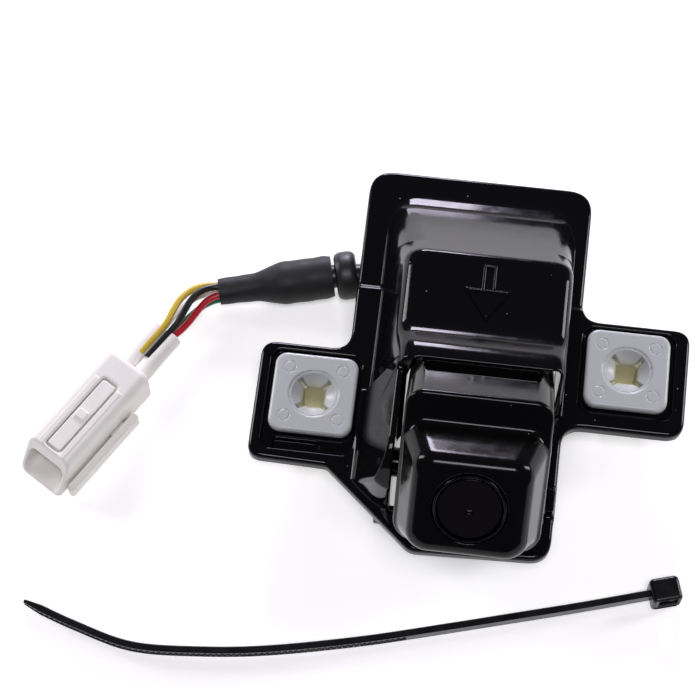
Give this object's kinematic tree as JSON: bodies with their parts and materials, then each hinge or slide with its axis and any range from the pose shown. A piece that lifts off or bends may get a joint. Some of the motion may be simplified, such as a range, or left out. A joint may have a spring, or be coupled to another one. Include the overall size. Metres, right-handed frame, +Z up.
{
  "type": "backup camera kit",
  "caption": "Reversing camera held at a slant in a gloss black bracket with two screw grommets, with its wired lead, white plug and a cable tie.",
  "frame": {"origin": "on the table, under the middle of the footprint of bracket, camera and cable tie", "axes": "+X to the right along the cable tie, +Y to the back edge of the bracket's flange, +Z up; the lens looks towards -Y and up at 45 degrees"},
  "size_m": [0.1084, 0.0856, 0.0358],
  "materials": {
    "gloss_black_abs": "high gloss moulded ABS",
    "gloss_black_housing": "satin gloss moulded ABS-PC",
    "closed_cell_foam": "die-cut closed-cell foam",
    "natural_nylon": "natural nylon, translucent, moulded",
    "black_rubber": "moulded EPDM",
    "blackened_ring": "black anodised, turned",
    "lens_glass": "polished and coated",
    "matt_black_barrel": "matt",
    "sensor_silicon": "packaged silicon",
    "green_board": "solder mask",
    "white_pbt": "moulded PBT",
    "steel_screws": "zinc plated",
    "brass_terminals": "stamped and tin plated",
    "black_cable_jacket": "PVC jacket",
    "matt_heatshrink": "shrunk polyolefin",
    "pvc_yellow": "PVC insulation",
    "pvc_black": "PVC insulation",
    "pvc_red": "PVC insulation",
    "pvc_green": "PVC insulation",
    "pvc_white": "PVC insulation",
    "black_nylon_tie": "moulded nylon 66"
  },
  "bodies": {
    "root": {"mounting_bracket": "gloss_black_abs", "flange_gasket": "closed_cell_foam", "left_screw_grommet": "natural_nylon", "right_screw_grommet": "natural_nylon", "camera_front_shell": "gloss_black_housing", "camera_rear_shell": "gloss_black_housing", "housing_seal": "black_rubber", "lens_ring": "blackened_ring", "lens_window": "lens_glass", "lens_barrel": "matt_black_barrel", "front_lens_element": "lens_glass", "rear_lens_element": "lens_glass", "lens_holder": "matt_black_barrel", "image_sensor": "sensor_silicon", "sensor_board": "green_board", "power_board": "green_board", "board_connector": "white_pbt", "shell_screw_1": "steel_screws", "shell_screw_2": "steel_screws", "shell_screw_3": "steel_screws", "shell_screw_4": "steel_screws", "bracket_screw_left": "steel_screws", "bracket_screw_right": "steel_screws", "cable_gland": "black_rubber", "camera_cable": "black_cable_jacket", "cable_bead": "black_rubber", "heatshrink_sleeve": "matt_heatshrink", "wire_yellow": "pvc_yellow", "wire_black": "pvc_black", "wire_red": "pvc_red", "wire_green": "pvc_green", "wire_white": "pvc_white", "connector_neck": "white_pbt", "connector_housing": "white_pbt", "terminal_1": "brass_terminals", "terminal_2": "brass_terminals", "terminal_3": "brass_terminals", "terminal_4": "brass_terminals", "terminal_5": "brass_terminals"},
    "connector_latch": {"connector_latch": "white_pbt"},
    "terminal_retainer": {"terminal_retainer": "white_pbt"},
    "cable_tie": {"cable_tie": "black_nylon_tie"},
    "tie_pawl": {"tie_pawl": "black_nylon_tie"}
  },
  "joints": [
    {"name": "latch_press", "type": "hinge", "parent": "root", "child": "connector_latch", "pos_m": [-0.05031, -0.01253, 0.00772], "axis": [-0.8526, 0.5225, 0], "range_deg": [0, 2], "stiffness_Nm_per_rad": 0.5},
    {"name": "retainer_unlock", "type": "slide", "parent": "root", "child": "terminal_retainer", "axis": [0.8526, -0.5225, 0], "range_m": [0, 0.0012]},
    {"name": "tie_lift", "type": "slide", "parent": "root", "child": "cable_tie", "axis": [0, 0, 1], "range_m": [0, 0.03]},
    {"name": "pawl_flex", "type": "hinge", "parent": "cable_tie", "child": "tie_pawl", "pos_m": [0.05001, -0.02219, 0.00234], "axis": [0, 0, 1], "range_deg": [0, 5], "stiffness_Nm_per_rad": 0.03}
  ]
}
